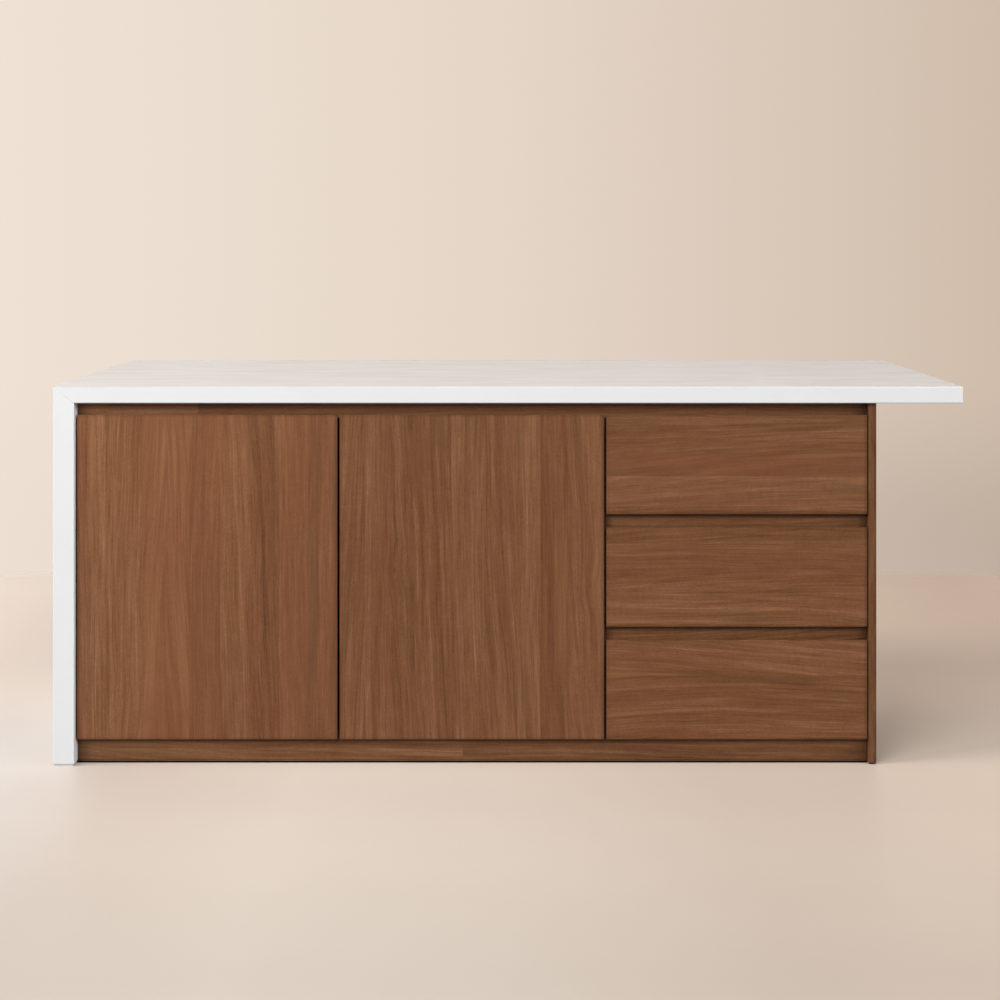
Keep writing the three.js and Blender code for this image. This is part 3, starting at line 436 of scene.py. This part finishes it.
# Dull black rubber of a sealing lip, ribbed along its length and dusty in places. Its black
# also stands in for the shadow along the toe kick's foot, as painted shade.
RUBBER = clouded(
    "black_rubber", (30.0, 1600.0, 1600.0), (60.0, 4.0, 0.6),
    [(0.35, (9, 8, 8)), (0.75, (17, 16, 15))],
    (0.3, 0.7, 0.75, 0.9), (0.3, 0.1 * MM), Specular_IOR_Level=0.1)


# ------------------------------------------------------------------ what each CAD node is given
SMOOTH_BELOW = math.radians(35)
ROUNDED_BELOW = math.radians(100)
STONE_ROUNDING = 0.6 * MM
VENEER_ROUNDING = 0.35 * MM
WELD_WITHIN = 0.01 * MM


def edge_marks():
    """Modifier nodes that mark edges by how far they turn.

    Those that turn by less than SMOOTH_BELOW are shaded smooth. Those from there to ROUNDED_BELOW
    get a bevel weight of 1, and keener ones, such as a mitre's, get none."""
    group = bpy.data.node_groups.new("edge_marks", "GeometryNodeTree")
    for way in ("INPUT", "OUTPUT"):
        group.interface.new_socket("Geometry", in_out=way, socket_type="NodeSocketGeometry")
    entry = group.nodes.new("NodeGroupInput").outputs[0]
    end = group.nodes.new("NodeGroupOutput").inputs[0]
    turn = group.nodes.new("GeometryNodeInputMeshEdgeAngle").outputs["Unsigned Angle"]

    def compare(operation, limit):
        made = group.nodes.new("FunctionNodeCompare")
        made.operation = operation
        made.inputs["B"].default_value = limit
        group.links.new(turn, made.inputs["A"])
        return made.outputs[0]

    sharp = compare("GREATER_THAN", SMOOTH_BELOW)
    normals = group.nodes.new("GeometryNodeSetMeshNormal")
    normals.inputs["Remove Custom"].default_value = True
    group.links.new(sharp, normals.inputs["Edge Sharpness"])
    group.links.new(entry, normals.inputs["Mesh"])
    both = group.nodes.new("FunctionNodeBooleanMath")
    both.operation = "AND"
    group.links.new(sharp, both.inputs[0])
    group.links.new(compare("LESS_THAN", ROUNDED_BELOW), both.inputs[1])
    weights = group.nodes.new("GeometryNodeStoreNamedAttribute")
    weights.data_type = "FLOAT"
    weights.domain = "EDGE"
    weights.inputs["Name"].default_value = "bevel_weight_edge"
    group.links.new(both.outputs[0], weights.inputs["Value"])
    group.links.new(normals.outputs[0], weights.inputs["Geometry"])
    group.links.new(weights.outputs[0], end)
    return group


EDGE_MARKS = edge_marks()


def dress(node, material, rounding=0.0):
    """Gives a CAD node its one material and, by modifiers, edges that catch the light."""
    piece = nodes[node]
    piece.data.materials.clear()
    piece.data.materials.append(material)
    weld = piece.modifiers.new("weld", "WELD")
    weld.merge_threshold = WELD_WITHIN
    marks = piece.modifiers.new("edge_marks", "NODES")
    marks.node_group = EDGE_MARKS
    if rounding:
        bevel = piece.modifiers.new("bevel", "BEVEL")
        bevel.width = rounding
        bevel.segments = 2
        bevel.limit_method = "WEIGHT"


STONES = ("worktop", "waterfall_leg")
# Each walnut node with its grain axis and the tone of its own sheet of veneer, or the tones of
# its low and high side. Its place in the list picks its part of the pattern.
VENEERS = {
    # The left door's two tones, lighter at its left side, paint light that falls off to the right.
    "left_door_panel": (Z, 1.05, 0.96),
    "right_door_panel": (Z, 0.92),
    "upper_drawer_front": (X, 0.91),
    "lower_drawer_front": (X, 0.975),
    "end_panel": (Z, 0.84),
    "rear_panel": (Z, 1.0),
    "middle_drawer_front": (X, 0.97),
    "toe_kick": (X, 0.95),
    "upper_grip_rail": (X, 1.17),
    "middle_grip_rail": (X, 0.91),
    "lower_grip_rail": (X, 1.0),
    "door_cabinet_left_side": (Z, 0.9),
    "door_cabinet_right_side": (Z, 0.9),
    "door_cabinet_bottom": (X, 0.9),
    "door_cabinet_back": (Z, 0.92),
    "shelf": (X, 0.92),
    "drawer_cabinet_left_side": (Z, 0.9),
    "drawer_cabinet_right_side": (Z, 0.9),
    "drawer_cabinet_bottom": (X, 0.9),
    "drawer_cabinet_back": (Z, 0.92),
}
VENEER_RISES = {"left_door_panel": 1.12, "right_door_panel": 1.03}
VENEER_JOINTS = {
    "upper_grip_rail": [(-0.753, 0.82), (0.578, 0.82)],
    "toe_kick": [(-0.109, 0.91)],
}


def plain_finish(node):
    """The material of a CAD node that is neither veneered nor stone."""
    if node == "waterfall_leg_glide":
        return PALE_PLASTIC
    if node == "end_panel_glide" or node.startswith("foot_"):
        return PLASTIC
    if "hinge" in node or node.startswith("shelf_pin"):
        return NICKEL
    if node.endswith(("drawer_bottom", "drawer_back")):
        return BOARD
    return STEEL


for seed, (node, (grain, *tones)) in enumerate(VENEERS.items(), 1):
    tones = (tones[0], tones[-1])
    rise, joints = VENEER_RISES.get(node, 1.0), VENEER_JOINTS.get(node, ())
    dress(node, walnut(node, grain, seed, tones, rise, joints), VENEER_ROUNDING)

for node in nodes:
    if node in STONES:
        dress(node, white_stone(node), STONE_ROUNDING)
    elif node not in VENEERS:
        dress(node, plain_finish(node))


# ------------------------------------------------------------------ fittings
def loft(name, rings, material):
    """A closed solid through rings of as many points each, which rides on the island."""
    mesh = bpy.data.meshes.new(name)
    form = bmesh.new()
    rings = [[form.verts.new(point) for point in ring] for ring in rings]
    for ring, after in zip(rings, rings[1:]):
        for i in range(len(ring)):
            j = (i + 1) % len(ring)
            form.faces.new((ring[i], ring[j], after[j], after[i]))
    form.faces.new(rings[0])
    form.faces.new(reversed(rings[-1]))
    bmesh.ops.recalc_face_normals(form, faces=form.faces)
    form.to_mesh(mesh)
    form.free()
    mesh.materials.append(material)
    made = bpy.data.objects.new(name, mesh)
    bpy.context.scene.collection.objects.link(made)
    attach(made, "island")


def mitre_glue_line():
    """The colour-matched resin in the mitre between the slab and the leg."""
    slab_low, slab_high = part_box("worktop")
    leg_low, leg_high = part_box("waterfall_leg")
    outer = Vector((leg_low.x, slab_high.z))
    inner = Vector((leg_high.x, slab_low.z))
    along = (inner - outer).normalized()
    to_leg = Vector((along.y, -along.x))
    joint = 0.3 * MM    # from slab to leg, square to the mitre
    arris = 1.5 * MM    # the chamfer along every edge of the slab and the leg
    shy = 0.04 * MM     # how far the resin stays clear of slab and leg and inside their outline
    # The chamfer takes 0.71 of its width off the corner, and more where another one meets it.
    between = outer + along * (0.71 * arris + shy)
    on_face = outer + along * (2 * arris)
    rings = []
    for y, start in (
        (slab_low.y + shy, on_face),
        (slab_low.y + arris, between),
        (slab_high.y - arris, between),
        (slab_high.y - shy, on_face),
    ):
        end = inner - along * shy
        section = [start + to_leg * shy, end + to_leg * shy,
                   end + to_leg * (joint - shy), start + to_leg * (joint - shy)]
        rings.append([(p.x, y, p.y) for p in section])
    loft("mitre_glue_line", rings, nodes["worktop"].data.materials[0])


def toe_kick_seal():
    """The strip under the toe kick, which closes the gap to the floor: a firm brown carrier and a
    soft black lip that ends just above the floor. The lip runs out 6.6 mm in front of the toe kick,
    so that its black also stands in for the shadow at the toe kick's foot, as painted shade."""
    low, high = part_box("toe_kick")
    face, top, seam = low.y, low.z - 0.05 * MM, 2.3 * MM
    back = face + 8 * MM
    carrier = [(face, top), (face, seam), (back, seam), (back, top)]
    # Painted shade: the lip's black runs 6.6 mm out in front of the toe kick, where the shadow at
    # its foot falls.
    lip = [(face + y * MM, z * MM) for y, z in (
        (0.4, 2.25), (-2.4, 1.9), (-5.4, 1.1), (-6.6, 0.6), (-6.6, 0.3), (2.0, 0.3), (4.0, 2.25),
    )]
    for name, outline, material, slot in (
        ("toe_kick_seal_carrier", carrier, nodes["toe_kick"].data.materials[0], "walnut"),
        ("toe_kick_lip_and_shadow", lip, RUBBER, "black_plastic"),
    ):
        rings = [[(x, y, z) for y, z in outline] for x in (low.x, high.x)]
        loft(name, rings, material)


toe_kick_seal()
mitre_glue_line()

# ------------------------------------------------------------------ floor and backdrop
# The wall's colours over the direction of view, from 0 at the far left to 1 at the far right:
# lighter at the left and darker at the right, they paint the fall of light across the wall.
WALL = [(0.36, linear(239, 226, 213)), (0.5, linear(229, 213, 198)), (0.64, linear(207, 188, 171))]
# Painted shade along the wall's foot: the direction's heights where it is full and where it
# ends, the sides between which it grows, and how deep it is at each of those.
FOOT_SHADE_HEIGHTS = (-0.165, -0.07)
FOOT_SHADE_SIDES = (0.4, 0.65)
FOOT_SHADE_DEPTHS = (0.025, 0.165)
WORLD_STRENGTH = 0.05
WORLD_LIGHT = linear(250, 247, 243)
# The floor is a square that reaches this far each way.
FLOOR_REACH = 30.0
# It gives way to the wall from here on, over this distance.
FLOOR_EDGE_Y = 1.9
FLOOR_FADE = 0.16
# The light that it throws back is that of a grey floor, so that it tints nothing.
FLOOR_BOUNCE = linear(124, 122, 120)
# The floor's colours near the camera and further back, from left to right, and its level from
# near to far. Together they paint the fall of light over the floor: lighter at the far left,
# darker to the right and towards the camera, with painted shade where it meets the wall.
# Their 0 to 1 stands for -FLOOR_RANGE to FLOOR_RANGE. The near colours give way to
# the others from -FLOOR_TURN to FLOOR_TURN.
FLOOR_RANGE = 2.0
FLOOR_TURN = 0.3
FLOOR_NEAR = [
    (0.20, linear(227, 221, 216)),
    (0.27, linear(229, 218, 207)),
    (0.375, linear(242, 232, 220)),
    (0.50, linear(238, 227, 215)),
    (0.625, linear(231, 217, 203)),
    (0.75, linear(233, 217, 202)),
]
FLOOR_FAR = [
    (0.03, linear(254, 241, 229)),
    (0.08, linear(248, 235, 223)),
    (0.13, linear(238, 225, 215)),
    (0.17, linear(233, 222, 212)),
    (0.45, linear(242, 227, 213)),
    (0.72, linear(250, 230, 211)),
    (0.90, linear(234, 211, 195)),
]
FLOOR_FALLOFF = [
    (0.08, grey(0.79)),
    (0.17, grey(0.85)),
    (0.23, grey(0.91)),
    (0.29, grey(0.97)),
    (0.38, grey(1.0)),
    (0.93, grey(1.0)),
    (0.97, grey(0.96)),
]


def shown_rays(t):
    """1 for rays that show the stage: the camera's, and those in gloss and glass."""
    path = t.node("ShaderNodeLightPath").outputs
    direct = t.math("MAXIMUM", path["Is Camera Ray"], path["Is Glossy Ray"])
    return t.math("MAXIMUM", direct, path["Is Transmission Ray"])


def floor_colour(t, here):
    """A pale floor whose colour paints the fall of light: lighter at the far left, a little warmer
    and darker to the right, darker near the camera, and painted shade where it meets the wall.
    """
    side = t.span(here[X], -FLOOR_RANGE, FLOOR_RANGE, smooth=False)
    away = t.span(here[Y], -FLOOR_RANGE, FLOOR_RANGE, smooth=False)
    near, far = t.ramp(side, FLOOR_NEAR), t.ramp(side, FLOOR_FAR)
    colour = t.mix(t.span(here[Y], -FLOOR_TURN, FLOOR_TURN), near, far)
    return t.mix(1.0, colour, t.ramp(away, FLOOR_FALLOFF), "MULTIPLY")


def floor():
    mesh = bpy.data.meshes.new("floor")
    r = FLOOR_REACH
    mesh.from_pydata([(-r, -r, 0), (r, -r, 0), (r, r, 0), (-r, r, 0)], [], [(0, 1, 2, 3)])
    plane = bpy.data.objects.new("floor", mesh)
    bpy.context.scene.collection.objects.link(plane)
    t = Tree("floor")
    here = t.point()
    cloud = t.noise(t.combine(*here), scale=0.9, detail=4.0, roughness=0.6)
    fine = t.noise(t.combine(*here), scale=6.0, detail=4.0, roughness=0.6)
    mottle = t.math("MULTIPLY_ADD", fine, 0.3, t.math("MULTIPLY", cloud, 0.7))
    colour = t.scaled(floor_colour(t, here), t.span(mottle, 0.3, 0.7, 0.98, 1.02, smooth=False))
    colour = t.mix(shown_rays(t), FLOOR_BOUNCE, colour)
    laid = t.node("ShaderNodeBsdfPrincipled", {
        "Base Color": colour, "Roughness": 0.4, "Specular IOR Level": 0.15,
    }).outputs[0]
    clear = t.node("ShaderNodeBsdfTransparent").outputs[0]
    beyond = t.span(here[Y], FLOOR_EDGE_Y, FLOOR_EDGE_Y + FLOOR_FADE)
    mixed = t.node("ShaderNodeMixShader", (beyond, laid, clear)).outputs[0]
    t.node("ShaderNodeOutputMaterial", (mixed,))
    mesh.materials.append(t.owner)


def world():
    """The wall's colour, with its painted fall of light and painted shade along its foot, for the
    camera and in reflections, and even light for the rest.
    """
    t = Tree("world", bpy.data.worlds.new("world"))
    bpy.context.scene.world = t.owner
    x, _, z = t.separate(t.node("ShaderNodeTexCoord").outputs["Generated"])
    side = t.span(x, -1.0, 1.0, smooth=False)
    # Painted shade along the wall's foot, deeper to the right.
    foot = t.math("MULTIPLY", t.span(z, *FOOT_SHADE_HEIGHTS, 1.0, 0.0),
                  t.span(side, *FOOT_SHADE_SIDES, *FOOT_SHADE_DEPTHS))
    wall = t.scaled(t.ramp(side, WALL), t.math("SUBTRACT", 1.0, foot))
    shown = t.node("ShaderNodeBackground", (wall, 1.0)).outputs[0]
    lit = t.node("ShaderNodeBackground", (WORLD_LIGHT, WORLD_STRENGTH)).outputs[0]
    mixed = t.node("ShaderNodeMixShader", (shown_rays(t), lit, shown)).outputs[0]
    t.node("ShaderNodeOutputWorld", (mixed,))


floor()
world()

# ------------------------------------------------------------------ lamps
WHITE = (1.0, 1.0, 1.0)
# Lamps seen from the middle of the fronts, as (name, azimuth to the right of straight ahead and
# elevation in degrees, distance, size, power, colour, whether gloss shows it). Were all of them
# shown in gloss, the worktop and the floor would turn white in views from behind.
FRONTS_MIDDLE = Vector((0.0, -0.43, 0.45))
SOFTBOXES = [
    ("left_softbox", -30, 27, 9.0, (5.6, 3.4), 285, WHITE, True),
    ("left_fill", -30, 27, 9.0, (5.6, 3.4), 309, WHITE, False),
    ("right_softbox", 45, 27, 16.0, (6.0, 6.0), 460, WHITE, True),
    ("right_low", 75, 12, 10.0, (3.0, 2.0), 480, WHITE, False),
    ("left_key", -75, 38, 12.0, (5.0, 5.0), 735, (1.0, 0.92, 0.86), False),
    ("left_rim", -130, 50, 8.0, (3.0, 3.0), 60, WHITE, True),
    ("rear_fill", 180, 1.5, 9.0, (5.0, 1.2), 250, (1.0, 0.97, 0.94), False),
]


def lamp(name, place, target, size, power, colour, in_gloss):
    data = bpy.data.lights.new(name, "AREA")
    data.shape = "RECTANGLE"
    data.size, data.size_y = size
    data.energy = power
    data.color = colour
    made = bpy.data.objects.new(name, data)
    made.location = place
    made.rotation_mode = "QUATERNION"
    made.rotation_quaternion = (target - place).to_track_quat("-Z", "Y")
    made.visible_camera = False
    made.visible_glossy = in_gloss
    bpy.context.scene.collection.objects.link(made)


for name, azimuth, elevation, distance, *rest in SOFTBOXES:
    turn, rise = math.radians(azimuth), math.radians(elevation)
    flat = math.cos(rise)
    way = Vector((math.sin(turn) * flat, -math.cos(turn) * flat, math.sin(rise)))
    lamp(name, FRONTS_MIDDLE + distance * way, FRONTS_MIDDLE, *rest)
lamp("overhead", Vector((0.6, 1.8, 4.6)), Vector((0.2, 0.2, 0.4)), (3.0, 2.4), 17,
     (1.0, 0.84, 0.70), in_gloss=True)

# ------------------------------------------------------------------ camera
# The photograph's camera is level and square to the fronts. Its picture is 1000 pixels square,
# and the vanishing point of the lines that run straight away from it isn't at its middle.
PICTURE_PIXELS = 1000
VANISHING_POINT = (508, 235)
FOCAL_PIXELS = 1775
SENSOR = 36.0
CAMERA_PLACE = (0.0, -4.722, 1.279)

camera_data = bpy.data.cameras.new("camera")
camera_data.sensor_width = SENSOR
camera_data.lens = FOCAL_PIXELS * SENSOR / PICTURE_PIXELS
camera_data.shift_x = (PICTURE_PIXELS / 2 - VANISHING_POINT[0]) / PICTURE_PIXELS
camera_data.shift_y = (VANISHING_POINT[1] - PICTURE_PIXELS / 2) / PICTURE_PIXELS
camera = bpy.data.objects.new("camera", camera_data)
camera.location = CAMERA_PLACE
camera.rotation_euler = (math.radians(90), 0, 0)
bpy.context.scene.collection.objects.link(camera)
bpy.context.scene.camera = camera

bpy.context.scene.view_settings.view_transform = "Standard"
